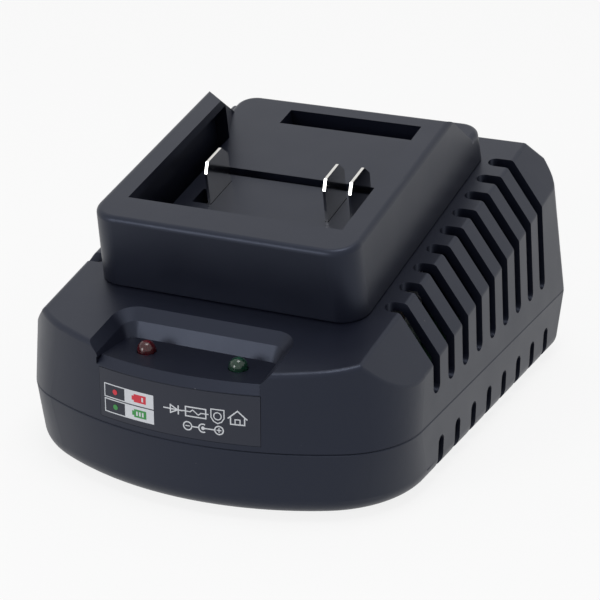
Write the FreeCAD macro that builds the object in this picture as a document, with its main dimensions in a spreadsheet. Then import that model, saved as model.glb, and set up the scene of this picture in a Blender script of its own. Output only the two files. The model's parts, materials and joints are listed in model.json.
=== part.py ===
# Slide-in battery charger of a cordless power tool: two-part case, tilted battery dock,
# three fixed contact blades, two indicator lamps and the electronics that they need.
# Origin: middle of the footprint, on the surface that the rubber feet stand on.
# +Y points from the front (lamps and label) to the back (power inlet), +Z up. Millimetres.
import FreeCAD, Part
import Sketcher
import math
import os
from FreeCAD import Placement, Rotation, Vector

doc = FreeCAD.newDocument("battery_charger")
sheet = doc.addObject("Spreadsheet::Sheet", "sizes")

# Driving sizes: name, value, what it is
SIZES = [
    ("foot_height", 1.5, "how far the rubber feet stand proud of the lower shell"),
    ("foot_radius", 5.0, "rubber foot"),
    ("foot_recess", 0.8, "depth of the pocket that holds a foot"),
    ("front_half", 55.1, "half width of the parting outline, carried to the front"),
    ("back_half", 61.8, "half width of the parting outline at the back"),
    ("bow_radius", 94.0, "bowed front of the case at the parting line"),
    ("corner_radius", 25.0, "front corners of the case in plan, at the parting line"),
    ("back_radius", 3.5, "back corners of the case in plan, at the parting line"),
    ("lower_height", 18.5, "lower shell, up to the parting line"),
    ("bottom_inset", 0.3, "how far the lower shell draws in at the sides"),
    ("bottom_front_inset", 0.4, "how far the lower shell draws in at the front"),
    ("bottom_back_inset", 2.2, "how far the lower shell draws in at the back"),
    ("bottom_bow_radius", 85.0, "bowed front at the case bottom"),
    ("bottom_corner_radius", 33.5, "front corners in plan at the case bottom"),
    ("bottom_edge_radius", 5.2, "rounded bottom edge"),
    ("bottom_back_margin", 2.1, "how much rounder the back corners are in plan than that edge"),
    ("upper_level", 52.0, "height above the case bottom where the upper outline holds"),
    ("upper_front_step", -0.4, "how much wider each side is there at the front"),
    ("upper_back_step", -3.4, "how much wider each side is there at the back"),
    ("upper_back_inset", 1.9, "how far the back wall leans in by that level"),
    ("upper_corner_radius", 34.0, "front corners in plan at that level"),
    ("upper_back_radius", 6.5, "back corners in plan at that level"),
    ("wall", 2.4, "wall of both shells"),
    ("seam", 0.3, "chamfer on both sides of the parting line"),
    ("deck_height", 39.7, "top deck at the front of the case, above the case bottom"),
    ("deck_tilt", 10.71, "degrees that the deck rises to the back"),
    ("ridge_front_half", 45.8, "half width of the deck at the front"),
    ("ridge_back_half", 48.9, "half width of the deck at the back"),
    ("facet_angle", 53.5, "degrees that the side facets fall away from the deck"),
    ("back_chamfer_run", 4.75, "level run of the chamfer along the back of the deck"),
    ("back_chamfer_drop", 5.8, "its drop"),
    ("crease_radius", 1.5, "rounded creases of the upper shell"),
    ("slot_count", 9.0, "long vents on each side of the upper shell"),
    ("slot_pitch", 10.18, "their spacing"),
    ("slot_width", 4.6, "their width"),
    ("slot_start", 41.8, "first vent, behind the front of the case"),
    ("slot_reach", 41.7, "where a vent starts on the deck, out from the middle"),
    ("slot_floor", 25.3, "lower end of the vents above the case bottom"),
    ("notch_count", 8.0, "short vents on each side of the lower shell"),
    ("notch_pitch", 11.62, "their spacing"),
    ("notch_width", 3.6, "their width"),
    ("notch_start", 45.5, "first short vent, behind the front of the case"),
    ("notch_top", 11.3, "top of the short vents above the case bottom"),
    ("notch_depth", 5.0, "how far they cut into the shell"),
    ("dock_start", 36.6, "front edge of the battery opening, behind the front of the case"),
    ("dock_height", 68.9, "top of the rails at that edge, above the case bottom"),
    ("dock_tilt", 11.82, "degrees that the rails rise to the back"),
    ("dock_half", 38.3, "half width of the dock along the top of its rails"),
    ("dock_draft", 1.4, "how much wider each side of the dock is at its foot"),
    ("opening_half", 31.4, "half width of the battery opening between the rails"),
    ("dock_front", 11.1, "thickness of the dock in front of the opening"),
    ("dock_corner", 7.5, "front corners of the dock in plan"),
    ("dock_back_corner", 6.0, "back corners of the dock in plan"),
    ("dock_back", 86.0, "back of the platform, along the rails from the opening's front edge"),
    ("deck_behind", 22.3, "case behind that, at the parting line"),
    ("dock_back_lean", 3.0, "how much further back the dock reaches at its foot"),
    ("rail_length", 58.0, "rails, along their inner edge"),
    ("rail_skew", 5.4, "how much further the rails reach along their outer edge"),
    ("rail_lip", 2.8, "thickness of the lip over the grooves"),
    ("groove_depth", 4.1, "how far the grooves cut in under the lips"),
    ("groove_length", 60.5, "grooves, from the opening's front edge"),
    ("mouth_flare", 5.6, "how much wider the way in becomes behind the rails"),
    ("platform_depth", 13.5, "platform below the top of the rails"),
    ("platform_start", 44.0, "front edge of the platform behind the opening's front edge"),
    ("platform_wall", 2.2, "platform thickness"),
    ("platform_edge_radius", 1.8, "rounded edge round the back of the platform"),
    ("dock_wall", 2.4, "outer wall of the dock"),
    ("latch_left", 20.4, "left end of the latch pocket, out from the middle"),
    ("latch_right", 23.4, "right end of the latch pocket, out from the middle"),
    ("latch_start", 72.8, "front edge of the latch pocket along the rails"),
    ("latch_length", 8.6, "latch pocket along the rails"),
    ("latch_depth", 7.0, "latch pocket depth"),
    ("dock_edge_radius", 1.6, "rounded top edges of the dock"),
    ("dock_gap", 0.35, "shadow gap between the dock and the deck"),
    ("spigot_step", 1.6, "how far the dock's spigot steps in from its outside"),
    ("spigot_depth", 27.6, "bottom of the spigot below the top of the rails"),
    ("fit_gap", 0.3, "clearance where one moulding drops into another"),
    ("ledge_width", 5.0, "ledge under the spigot"),
    ("ledge_thickness", 2.2, "ledge and collar under the spigot"),
    ("carrier_drop", 1.1, "top of the contact carrier below the platform"),
    ("carrier_thickness", 3.4, "contact carrier"),
    ("carrier_gap", 2.2, "dark gap between the carrier and the platform"),
    ("bar_width", 4.2, "two bars under the sides of the carrier"),
    ("bar_height", 3.0, "their height"),
    ("blade_thickness", 0.8, "contact blade"),
    ("blade_left", 20.7, "left blade, out from the middle"),
    ("sense_offset", 15.3, "middle blade, out from the middle"),
    ("blade_right", 22.9, "right blade, out from the middle"),
    ("blade_start", 24.8, "front of the blades along the rails"),
    ("blade_length", 13.5, "blades along the rails"),
    ("blade_tip", 1.9, "top of the blades below the top of the rails"),
    ("blade_nose", 1.7, "chamfer at the front top of a blade, along the rails"),
    ("blade_nose_drop", 3.0, "its drop"),
    ("blade_heel", 3.4, "chamfer at the back top of a blade"),
    ("blade_shoulder", 1.5, "how far the blade's shoulder reaches past the blade"),
    ("shoulder_height", 2.0, "the shoulder, below the carrier"),
    ("blade_tail", 8.0, "solder tail below the carrier"),
    ("tail_length", 5.0, "solder tail along the rails"),
    ("probe_half", 2.5, "half width of the small window beside the left blade"),
    ("probe_length", 7.4, "that window along the rails"),
    ("recess_half", 26.2, "half width of the lamp recess on the deck"),
    ("recess_back", 22.7, "back rim of the lamp recess, behind the front of the case"),
    ("recess_corner", 6.5, "corner radius of that rim"),
    ("recess_bevel", 2.6, "width of the bevel round the lamp recess"),
    ("recess_wall_lean", 0.42, "how far the recess walls lean in below the bevel, for each millimetre down"),
    ("recess_floor", 36.8, "recess floor above the case bottom"),
    ("recess_lip", 2.2, "chamfered lip at the front of the recess"),
    ("recess_skin", 2.0, "wall under and round the recess"),
    ("lamp_offset", 13.35, "indicator lamps, out from the middle"),
    ("lamp_place", 11.7, "indicator lamps, behind the front of the case"),
    ("lamp_radius", 2.5, "indicator lamp"),
    ("lamp_height", 8.2, "indicator lamp, from its flange"),
    ("lamp_flange", 0.45, "how far its flange stands out"),
    ("lamp_proud", 3.0, "how far the lamps stand out of the recess floor"),
    ("label_left", 22.6, "label, left end from the middle"),
    ("label_right", 23.6, "label, right end from the middle"),
    ("label_bottom", 20.4, "label bottom above the case bottom"),
    ("label_height", 13.9, "label"),
    ("label_thickness", 0.3, "label"),
    ("label_gap", 0.1, "clearance round the label"),
    ("board_half", 42.0, "half width of the main board"),
    ("board_start", 28.6, "front of the main board, behind the front of the case"),
    ("board_back_gap", 11.0, "back of the main board, ahead of the back of the case"),
    ("board_thickness", 1.6, "circuit boards"),
    ("board_lift", 3.0, "main board above the inside of the lower shell"),
    ("post_radius", 4.0, "posts for the housing screws"),
    ("board_post_radius", 3.2, "posts for the board screws"),
    ("post_front", 18.6, "front housing posts, behind the front of the case"),
    ("post_front_half", 37.5, "front housing posts, out from the middle"),
    ("post_back", 9.0, "back housing posts, ahead of the back of the case"),
    ("post_back_half", 47.0, "back housing posts, out from the middle"),
    ("board_screw_inset", 4.5, "board screws, in from the corners of the board"),
    ("screw_radius", 1.4, "screw shank"),
    ("screw_head_radius", 2.7, "screw head"),
    ("screw_head_height", 1.8, "screw head"),
    ("screw_gap", 0.1, "clearance round a screw"),
    ("housing_screw_length", 22.0, "housing screws under the head"),
    ("housing_screw_lift", 6.0, "underside of the housing screw heads above the case bottom"),
    ("short_screw_length", 5.5, "board, dock and carrier screws under the head"),
    ("jack_offset", 13.0, "power inlet, in from the left edge of the main board"),
    ("jack_width", 9.0, "body of the power inlet"),
    ("jack_height", 11.0, "body of the power inlet"),
    ("jack_depth", 12.0, "body of the power inlet"),
    ("jack_snout_radius", 4.0, "round nose of the power inlet"),
    ("jack_bore_radius", 2.75, "bore of the power inlet"),
    ("jack_bore_depth", 9.5, "bore of the power inlet"),
    ("jack_pin_radius", 1.05, "centre pin of the power inlet"),
    ("jack_set_back", 1.4, "nose of the inlet, in from the back of the case"),
    ("capacitor_radius", 6.25, "bulk capacitors"),
    ("capacitor_height", 22.0, "bulk capacitors"),
    ("capacitor_pitch", 15.0, "spacing of the bulk capacitors"),
    ("inductor_radius", 10.0, "drum core of the inductor"),
    ("inductor_height", 13.0, "drum core of the inductor"),
    ("inductor_neck", 4.5, "neck of the drum core"),
    ("inductor_flange", 2.0, "flanges of the drum core"),
    ("winding_gap", 0.2, "between the winding and the drum core"),
    ("sink_width", 34.0, "heat sink, side to side"),
    ("sink_height", 26.0, "heat sink"),
    ("sink_base", 3.0, "its back plate"),
    ("sink_depth", 14.0, "its fins"),
    ("sink_fin", 1.6, "thickness of a fin"),
    ("sink_fin_count", 7.0, "fins"),
    ("package_width", 10.0, "power transistor"),
    ("package_height", 15.0, "power transistor"),
    ("package_thickness", 4.4, "power transistor"),
    ("package_lift", 7.0, "transistors above the board"),
    ("package_leg", 0.7, "width of a transistor's leg"),
    ("chip_length", 9.9, "controller chip"),
    ("chip_width", 3.9, "controller chip"),
    ("chip_height", 1.6, "controller chip"),
    ("fuse_radius", 4.2, "fuse"),
    ("fuse_height", 8.0, "fuse"),
    ("header_length", 15.0, "output header"),
    ("header_width", 6.0, "output header"),
    ("header_height", 8.0, "output header"),
    ("header_pitch", 4.5, "its ways"),
    ("wire_radius", 0.9, "internal wires"),
]
for row, (alias, value, note) in enumerate(SIZES, start=1):
    sheet.set("A%d" % row, note)
    sheet.set("B%d" % row, str(value))
    sheet.setAlias("B%d" % row, alias)
doc.recompute()


def size(alias):
    """Value of a cell of the sheet."""
    return float(sheet.get(alias))


class Length:
    """A length together with the formula that ties it to the sheet."""

    def __init__(self, value, text):
        self.value = value
        self.text = text

    def join(self, other, sign, value):
        return Length(value, "(%s %s %s)" % (self.text, sign, other.text))

    def __add__(self, other):
        other = length(other)
        return self.join(other, "+", self.value + other.value)

    def __sub__(self, other):
        other = length(other)
        return self.join(other, "-", self.value - other.value)

    def __mul__(self, other):
        other = length(other)
        return self.join(other, "*", self.value * other.value)

    def __truediv__(self, other):
        other = length(other)
        return self.join(other, "/", self.value / other.value)

    def __neg__(self):
        return length(0) - self


def length(thing):
    """A Length from a cell's name, a number or another Length."""
    if isinstance(thing, Length):
        return thing
    if isinstance(thing, str):
        return Length(size(thing), "sizes." + thing)
    return Length(float(thing), repr(float(thing)))


# Places that follow from the sizes
DEPTH = size("dock_start") + size("dock_back") + size("deck_behind")
FRONT = -DEPTH / 2
BACK = DEPTH / 2
BOTTOM = size("foot_height")
PARTING = BOTTOM + size("lower_height")
WALL = size("wall")
DECK_SLOPE = math.tan(math.radians(size("deck_tilt")))
FACET_SLOPE = math.tan(math.radians(size("facet_angle")))
BOARD_UNDER = BOTTOM + WALL + size("board_lift")
BOARD_TOP = BOARD_UNDER + size("board_thickness")
BOARD_FRONT = FRONT + size("board_start")
BOARD_BACK = BACK - size("board_back_gap")
FAR = 300.0


def deck_level(y):
    """Height of the deck surface at a distance y from the middle of the case."""
    return BOTTOM + size("deck_height") + DECK_SLOPE * (y - FRONT)


# Case outline: a bowed front, rounded corners and sides that open towards the back


def outline(level, front, back, halves, radii, shrink):
    """Closed wire of the plan outline at a level, moved inwards by shrink."""
    front_half, back_half = halves
    bow, corner, rear = [max(radius - shrink, 0.8) for radius in radii]
    lean = math.atan2(back_half - front_half, back - front)
    front = front + shrink
    back = back - shrink
    side = Vector(front_half - shrink / math.cos(lean), front - shrink, 0)
    along = Vector(math.sin(lean), math.cos(lean), 0)
    inward = Vector(-math.cos(lean), math.sin(lean), 0)
    bow_centre = Vector(0, front + bow, 0)
    start = side + inward * corner - bow_centre
    half_b = start.dot(along)
    rest = start.dot(start) - (bow - corner) ** 2
    travel = -half_b - math.sqrt(half_b * half_b - rest)
    corner_centre = bow_centre + start + along * travel
    towards = (corner_centre - bow_centre).normalize()
    bow_end = bow_centre + towards * bow
    side_start = corner_centre - inward * corner
    corner_mid = corner_centre + (towards - inward).normalize() * corner
    rear_run = (back - rear - (side + inward * rear).y) / along.y
    rear_centre = side + inward * rear + along * rear_run
    side_end = rear_centre - inward * rear
    rear_end = rear_centre + Vector(0, rear, 0)
    rear_mid = rear_centre + (Vector(0, 1, 0) - inward).normalize() * rear

    def flip(point):
        return Vector(-point.x, point.y, 0)

    edges = [
        Part.Arc(flip(bow_end), Vector(0, front, 0), bow_end).toShape(),
        Part.Arc(bow_end, corner_mid, side_start).toShape(),
        Part.LineSegment(side_start, side_end).toShape(),
        Part.Arc(side_end, rear_mid, rear_end).toShape(),
        Part.LineSegment(rear_end, flip(rear_end)).toShape(),
        Part.Arc(flip(rear_end), flip(rear_mid), flip(side_end)).toShape(),
        Part.LineSegment(flip(side_end), flip(side_start)).toShape(),
        Part.Arc(flip(side_start), flip(corner_mid), flip(bow_end)).toShape(),
    ]
    wire = Part.Wire(edges)
    wire.translate(Vector(0, 0, level))
    return wire


def parting_outline(shrink, level):
    radii = (size("bow_radius"), size("corner_radius"), size("back_radius"))
    return outline(level, FRONT, BACK, (size("front_half"), size("back_half")), radii, shrink)


def bottom_outline(shrink, level):
    inset = size("bottom_inset")
    radii = (size("bottom_bow_radius"), size("bottom_corner_radius"),
             size("bottom_edge_radius") + size("bottom_back_margin"))
    return outline(level, FRONT + size("bottom_front_inset"), BACK - size("bottom_back_inset"),
                   (size("front_half") - inset, size("back_half") - inset), radii, shrink)


def upper_outline(shrink, level):
    """Outline of the upper walls, carried on in a straight line to any level."""
    share = (level - PARTING) / (size("upper_level") - size("lower_height"))
    halves = (size("front_half") + share * size("upper_front_step"),
              size("back_half") + share * size("upper_back_step"))
    radii = (size("bow_radius"),
             size("corner_radius") + share * (size("upper_corner_radius") - size("corner_radius")),
             size("back_radius") + share * (size("upper_back_radius") - size("back_radius")))
    return outline(level, FRONT, BACK - share * size("upper_back_inset"), halves, radii, shrink)


def between(lower_wire, upper_wire):
    return Part.makeLoft([lower_wire, upper_wire], True, True)


def block(x0, x1, y0, y1, z0, z1):
    return Part.makeBox(x1 - x0, y1 - y0, z1 - z0, Vector(x0, y0, z0))


def post(x, y, z0, z1, radius):
    return Part.makeCylinder(radius, z1 - z0, Vector(x, y, z0))


def mirrored(shape):
    """The shape and its mirror image across the middle of the case."""
    return [shape, shape.mirror(Vector(0, 0, 0), Vector(1, 0, 0))]


def prism(points, direction):
    """Solid swept from a closed polygon."""
    return Part.Face(Part.makePolygon(points + points[:1])).extrude(direction)


def roof(drop):
    """Room under the deck and the side facets, moved down by drop."""
    def profile(y):
        share = (y - FRONT) / (BACK - FRONT)
        ridge = size("ridge_front_half") + share * (size("ridge_back_half") - size("ridge_front_half"))
        ridge = ridge - drop * math.tan(math.radians(size("facet_angle") / 2))
        top = deck_level(y) - drop / math.cos(math.radians(size("deck_tilt")))
        side = size("back_half") * 1.5
        low = top - FACET_SLOPE * (side - ridge)
        points = [(-side, -FAR), (side, -FAR), (side, low), (ridge, top), (-ridge, top), (-side, low)]
        corners = [Vector(x, y, z) for x, z in points]
        return Part.makePolygon(corners + corners[:1])
    return between(profile(2 * FRONT), profile(2 * BACK))


def back_chamfer(drop):
    """What the chamfer along the back of the deck cuts away, moved inwards by drop."""
    run = size("back_chamfer_run")
    fall = size("back_chamfer_drop")
    share = (deck_level(BACK) - PARTING) / (size("upper_level") - size("lower_height"))
    wall_y = BACK - share * size("upper_back_inset")
    slant = math.hypot(run, fall)
    start = Vector(-FAR, wall_y - run - drop * fall / slant, deck_level(wall_y - run) - drop * run / slant)
    slope = Vector(0, run / slant, -fall / slant)
    outward = Vector(0, fall / slant, run / slant)
    points = [start - slope * FAR, start + slope * FAR, start + slope * FAR + outward * FAR,
              start - slope * FAR + outward * FAR]
    return prism(points, Vector(2 * FAR, 0, 0))


# The dock's own frame: u across, v along the rails, w square to the rail tops

DOCK = Placement(Vector(0, FRONT + size("dock_start"), BOTTOM + size("dock_height")),
                 Rotation(Vector(1, 0, 0), size("dock_tilt")))


def in_case(shape):
    """A shape drawn in the dock's frame, moved into the case's frame."""
    moved = shape.copy()
    moved.Placement = DOCK.multiply(moved.Placement)
    return moved


def in_dock(shape):
    """A shape drawn in the case's frame, moved into the dock's frame."""
    moved = shape.copy()
    moved.Placement = DOCK.inverse().multiply(moved.Placement)
    return moved


def rounded(half, v0, v1, front_radius, back_radius, w):
    """Closed wire of a rectangle with rounded front and back corners at height w."""
    def corner(cx, cy, radius, quarter):
        points = [Vector(cx + radius * math.cos(math.radians(a)),
                         cy + radius * math.sin(math.radians(a)), w)
                  for a in (quarter, quarter + 45, quarter + 90)]
        return Part.Arc(*points).toShape(), points[0], points[2]
    corners = [
        corner(-half + front_radius, v0 + front_radius, front_radius, 180),
        corner(half - front_radius, v0 + front_radius, front_radius, 270),
        corner(half - back_radius, v1 - back_radius, back_radius, 0),
        corner(-half + back_radius, v1 - back_radius, back_radius, 90),
    ]
    edges = []
    for index, (arc, first, last) in enumerate(corners):
        following = corners[(index + 1) % 4][1]
        edges.append(arc)
        edges.append(Part.LineSegment(last, following).toShape())
    return Part.Wire(edges)


def deck_in_dock(height):
    """Everything lower than a plane at a height over the deck, in the dock's frame."""
    y0 = 2 * FRONT
    y1 = 2 * BACK
    points = [Vector(-FAR, y0, deck_level(y0) + height), Vector(-FAR, y1, deck_level(y1) + height),
              Vector(-FAR, y1, -FAR), Vector(-FAR, y0, -FAR)]
    return in_dock(prism(points, Vector(2 * FAR, 0, 0)))


def spigot_outline(grow, w):
    step = size("spigot_step") - grow
    return rounded(size("dock_half") - step, -size("dock_front") + step, size("dock_back") - step,
                   max(size("dock_corner") - step, 0.6), max(size("dock_back_corner") - step, 0.6), w)


def spigot_prism(grow, w0, w1):
    return Part.Face(spigot_outline(grow, w0)).extrude(Vector(0, 0, w1 - w0))


objects = []


def feature(node, shape, placement=None):
    """A sub-part whose shape is made here."""
    item = doc.addObject("Part::Feature", node)
    item.Label = node
    item.Shape = shape
    if placement is not None:
        item.Placement = placement
    objects.append(item)
    return item


# Lower shell: floor and wall with short vents, posts, screw wells and pockets for the feet

housing_places = [(side * size("post_front_half"), FRONT + size("post_front")) for side in (-1, 1)]
housing_places += [(side * size("post_back_half"), BACK - size("post_back")) for side in (-1, 1)]
board_places = [(side * (size("board_half") - size("board_screw_inset")), y) for side in (-1, 1)
                for y in (BOARD_FRONT + size("board_screw_inset"), BOARD_BACK - size("board_screw_inset"))]
foot_inset = size("foot_radius") + size("notch_depth") + size("bottom_inset") + 2 * WALL
foot_places = []
for along_share in (0.29, 0.85):
    foot_y = FRONT + along_share * DEPTH
    foot_x = size("front_half") + along_share * (size("back_half") - size("front_half")) - foot_inset
    foot_places += [(-foot_x, foot_y), (foot_x, foot_y)]

jack_x = size("jack_offset") - size("board_half")
jack_axis = BOARD_TOP + size("jack_height") / 2
jack_nose = BACK - size("jack_set_back")


def make_lower_shell():
    seam = size("seam")
    outer = between(bottom_outline(0, BOTTOM), parting_outline(0, PARTING - seam))
    low_edges = [e for e in outer.Edges if e.BoundBox.ZMax < BOTTOM + 0.01]
    outer = outer.makeFillet(size("bottom_edge_radius"), low_edges)
    outer = outer.fuse(between(parting_outline(0, PARTING - seam), parting_outline(seam, PARTING)))
    inner = between(bottom_outline(WALL, BOTTOM + WALL), parting_outline(WALL, PARTING + WALL))
    low_edges = [e for e in inner.Edges if e.BoundBox.ZMax < BOTTOM + WALL + 0.01]
    inner = inner.makeFillet(size("bottom_edge_radius") - WALL, low_edges)
    shell = outer.cut(inner)
    posts = [post(x, y, BOTTOM + WALL / 2, PARTING, size("post_radius")) for x, y in housing_places]
    posts += [post(x, y, BOTTOM + WALL / 2, BOARD_UNDER, size("board_post_radius"))
              for x, y in board_places]
    shell = shell.fuse([p.common(outer) for p in posts])
    cuts = []
    for x, y in housing_places:
        cuts.append(post(x, y, -1, PARTING + 1, size("screw_radius") + size("screw_gap")))
        cuts.append(post(x, y, -1, BOTTOM + size("housing_screw_lift"),
                         size("screw_head_radius") + size("fit_gap")))
    for x, y in board_places:
        cuts.append(post(x, y, BOTTOM + WALL / 2, BOARD_UNDER + 1, size("screw_radius") + size("screw_gap")))
    for x, y in foot_places:
        cuts.append(post(x, y, -1, BOTTOM + size("foot_recess"), size("foot_radius") + size("screw_gap")))
    nose = Part.makeCylinder(size("jack_snout_radius") + size("fit_gap"), 4 * WALL,
                             Vector(jack_x, BACK - 3 * WALL, jack_axis), Vector(0, 1, 0))
    cuts.append(nose)
    for number in range(int(size("notch_count"))):
        cuts += notch(FRONT + size("notch_start") + number * size("notch_pitch"))
    return shell.cut(cuts)


def side_half(y, level):
    """Half width of the lower shell's wall at a height."""
    share = (y - FRONT) / (BACK - FRONT)
    half = size("front_half") + share * (size("back_half") - size("front_half"))
    return half - size("bottom_inset") * (PARTING - level) / (PARTING - BOTTOM)


def notch(y):
    """One short vent on each side, open through the bottom edge and rounded at its top."""
    radius = size("notch_width") / 2
    inner = side_half(y, BOTTOM) - size("notch_depth")
    arch = BOTTOM + size("notch_top") - radius
    body = block(inner, FAR, y - radius, y + radius, -1, arch)
    top = Part.makeCylinder(radius, FAR - inner, Vector(inner, y, arch), Vector(1, 0, 0))
    return mirrored(body.fuse(top))


feature("lower_shell", make_lower_shell())

# Upper shell: bowed front wall, deck, side facets with long vents, lamp recess, dock window


spigot_half = size("dock_half") - size("spigot_step")
post_inset = size("dock_wall") / 2 + size("board_post_radius") / 2
dock_places = [(side * (spigot_half - post_inset), v) for side in (-1, 1)
               for v in (size("spigot_step") - size("dock_front") + post_inset,
                         size("dock_back") - size("spigot_step") - post_inset)]


def recess_outline(grow, level):
    """Open-fronted outline of the lamp recess, as a closed wire that runs past the front."""
    half = size("recess_half") + grow
    back = FRONT + size("recess_back") + grow
    radius = max(size("recess_corner") + grow, 0.8)
    front = FRONT - size("recess_back")
    shift = radius * (1 - math.sqrt(0.5))
    points = [Vector(-half, front, level), Vector(half, front, level),
              Vector(half, back - radius, level), Vector(half - shift, back - shift, level),
              Vector(half - radius, back, level), Vector(-half + radius, back, level),
              Vector(-half + shift, back - shift, level), Vector(-half, back - radius, level)]
    edges = [
        Part.LineSegment(points[0], points[1]).toShape(),
        Part.LineSegment(points[1], points[2]).toShape(),
        Part.Arc(points[2], points[3], points[4]).toShape(),
        Part.LineSegment(points[4], points[5]).toShape(),
        Part.Arc(points[5], points[6], points[7]).toShape(),
        Part.LineSegment(points[7], points[0]).toShape(),
    ]
    return Part.Wire(edges)


def tilted(wire_maker, grow, height):
    """A plan outline laid on a plane at a height over the deck."""
    wire = wire_maker(grow, 0)
    sheared = FreeCAD.Matrix()
    sheared.A32 = DECK_SLOPE
    sheared.A34 = deck_level(0) + height
    return wire.transformGeometry(sheared)


def recess_space(grow, floor):
    """Room of the lamp recess: bevel at the deck, then walls that lean in to a level floor."""
    bevel = size("recess_bevel")
    lean = size("recess_wall_lean")
    over = Part.makeLoft([tilted(recess_outline, grow - bevel, -bevel),
                          tilted(recess_outline, grow + bevel, bevel)], True, True)
    deep = 10.0
    under = Part.makeLoft([tilted(recess_outline, grow - bevel - lean * deep, -bevel - deep),
                           tilted(recess_outline, grow - bevel, -bevel)], True, True)
    under = under.cut(block(-FAR, FAR, -FAR, FAR, -FAR, floor))
    return over.cut(block(-FAR, FAR, -FAR, FAR, -FAR, floor)).fuse(under)


def slot(y):
    """One long vent on each side: along the deck, over the ridge and down the side."""
    radius = size("slot_width") / 2
    floor = BOTTOM + size("slot_floor")
    inner = size("slot_reach") + radius
    deep = floor + radius
    side = size("back_half") - 3 * WALL
    top = block(inner, FAR, y - radius, y + radius, deep + WALL, FAR)
    end = post(inner, y, deep + WALL, FAR, radius)
    lower = block(side - WALL, FAR, y - radius, y + radius, deep, deep + 2 * WALL)
    rounding = Part.makeCylinder(radius, FAR, Vector(side - WALL, y, deep), Vector(1, 0, 0))
    return mirrored(top.fuse([end, lower, rounding]))


def label_solid(grow):
    """The label, let into the bowed front wall and grown by a clearance."""
    deep = size("label_thickness")
    low = BOTTOM + size("label_bottom") - grow
    top = low + size("label_height") + 2 * grow
    skin = between(upper_outline(0, low), upper_outline(0, top))
    skin = skin.cut(between(upper_outline(deep, low - 1), upper_outline(deep, top + 1)))
    return skin.common(block(-size("label_left") - grow, size("label_right") + grow, FRONT - 1,
                             FRONT + size("corner_radius"), low, top))


def lip_chamfer():
    """What the chamfered front lip of the lamp recess loses."""
    lip = size("recess_lip")
    floor = BOTTOM + size("recess_floor")
    half = size("recess_half") - size("recess_bevel")
    kept = between(upper_outline(0, floor - lip), upper_outline(lip, floor))
    front = block(-half, half, FRONT - 1, FRONT + size("recess_back") / 2, floor - lip, floor)
    return front.cut(kept)


lamp_y = FRONT + size("lamp_place")
lamp_board_top = BOTTOM + size("recess_floor") + size("lamp_proud") - size("lamp_height")
lamp_screw_places = [(side * size("lamp_offset") / 2, lamp_y) for side in (-1, 1)]


def is_upright(edge):
    """True for the seams between the walls, which run up and down."""
    first = edge.Vertexes[0].Point
    last = edge.Vertexes[-1].Point
    return abs(last.z - first.z) > 0.9 * (last - first).Length


def make_upper_shell():
    top = deck_level(BACK) + WALL
    seam = size("seam")
    walls = between(upper_outline(0, PARTING + seam), upper_outline(0, top))
    outer = walls.common(roof(0)).cut(back_chamfer(0))
    creases = [e for e in outer.Edges if e.BoundBox.ZMin > PARTING + 2 * seam and not is_upright(e)]
    outer = outer.makeFillet(size("crease_radius"), creases)
    outer = outer.fuse(between(upper_outline(seam, PARTING), upper_outline(0, PARTING + seam)))
    inner = between(upper_outline(WALL, PARTING - 1), upper_outline(WALL, top))
    inner = inner.common(roof(WALL)).cut(back_chamfer(WALL))
    shell = outer.cut(inner)
    pan = recess_space(size("recess_skin"), BOTTOM + size("recess_floor") - size("recess_skin"))
    lamp_posts = [post(x, y, lamp_board_top, BOTTOM + size("recess_floor"), size("board_post_radius"))
                  for x, y in lamp_screw_places]
    shell = shell.fuse([pan.common(outer)] + lamp_posts)
    collar = in_case(spigot_prism(size("ledge_thickness") + size("fit_gap"),
                                  -size("spigot_depth") - size("ledge_thickness") - size("fit_gap"), 0))
    posts = [post(x, y, PARTING, FAR, size("post_radius")) for x, y in housing_places]
    shell = shell.fuse([collar.common(outer)] + [p.common(outer) for p in posts])
    window = in_case(spigot_prism(size("fit_gap"), -size("spigot_depth") - size("fit_gap"), FAR))
    hollow = in_case(spigot_prism(-size("ledge_width"), -FAR, FAR))
    cuts = [window, hollow, recess_space(0, BOTTOM + size("recess_floor")), lip_chamfer(),
            label_solid(size("label_gap"))]
    for x, y in lamp_screw_places:
        cuts.append(post(x, y, 0, lamp_board_top + size("short_screw_length") - size("board_thickness"),
                         size("screw_radius") + size("screw_gap")))
    for x, y in housing_places:
        depth = BOTTOM + size("housing_screw_lift") + size("housing_screw_length") + 1
        cuts.append(post(x, y, PARTING - 1, depth, size("screw_radius") + size("screw_gap")))
    for u, v in dock_places:
        cuts.append(in_case(post(u, v, -2 * size("spigot_depth"), -size("spigot_depth"),
                                 size("screw_radius") + size("screw_gap"))))
    for side in (-1, 1):
        cuts.append(post(side * size("lamp_offset"), FRONT + size("lamp_place"), PARTING, FAR,
                         size("lamp_radius") + 2 * size("screw_gap")))
    for number in range(int(size("slot_count"))):
        cuts += slot(FRONT + size("slot_start") + number * size("slot_pitch"))
    return shell.cut(cuts)


feature("upper_shell", make_upper_shell())

# Battery dock: rails with grooves, platform, latch pocket and the spigot that drops into the case


carrier_places = [(side * (size("opening_half") - size("bar_width") / 2), v) for side in (-1, 1)
                  for v in (size("blade_start") / 3, size("platform_start") - 2 * size("bar_width"))]


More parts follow.
